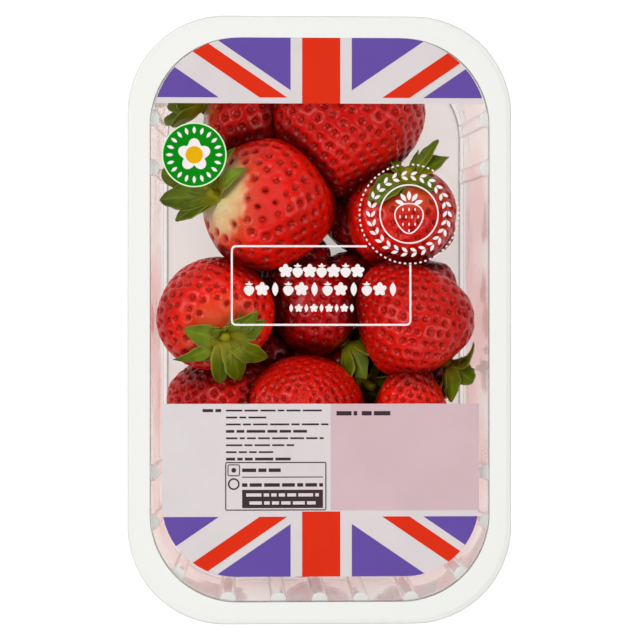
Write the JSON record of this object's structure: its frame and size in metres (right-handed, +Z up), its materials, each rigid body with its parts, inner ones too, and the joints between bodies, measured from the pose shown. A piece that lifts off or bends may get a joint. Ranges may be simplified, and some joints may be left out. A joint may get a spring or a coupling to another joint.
{
  "type": "heat-sealed punnet of strawberries",
  "caption": "Clear rounded plastic tray of ripe strawberries, shut by a printed see-through lidding film sealed on its flange.",
  "frame": {"origin": "on the ground under the middle of the tray", "axes": "+Z up, the tray's long side along Y, +Y towards the end that is uppermost when the print is seen upright"},
  "size_m": [0.12, 0.19, 0.0526],
  "materials": {
    "clear_plastic": "gloss",
    "lidding_film": "gloss",
    "strawberry": "satin",
    "calyx": "matte",
    "film_print": "satin"
  },
  "bodies": {
    "root": {"tray": "clear_plastic", "film": "lidding_film", "strawberries": "strawberry"}
  },
  "joints": []
}
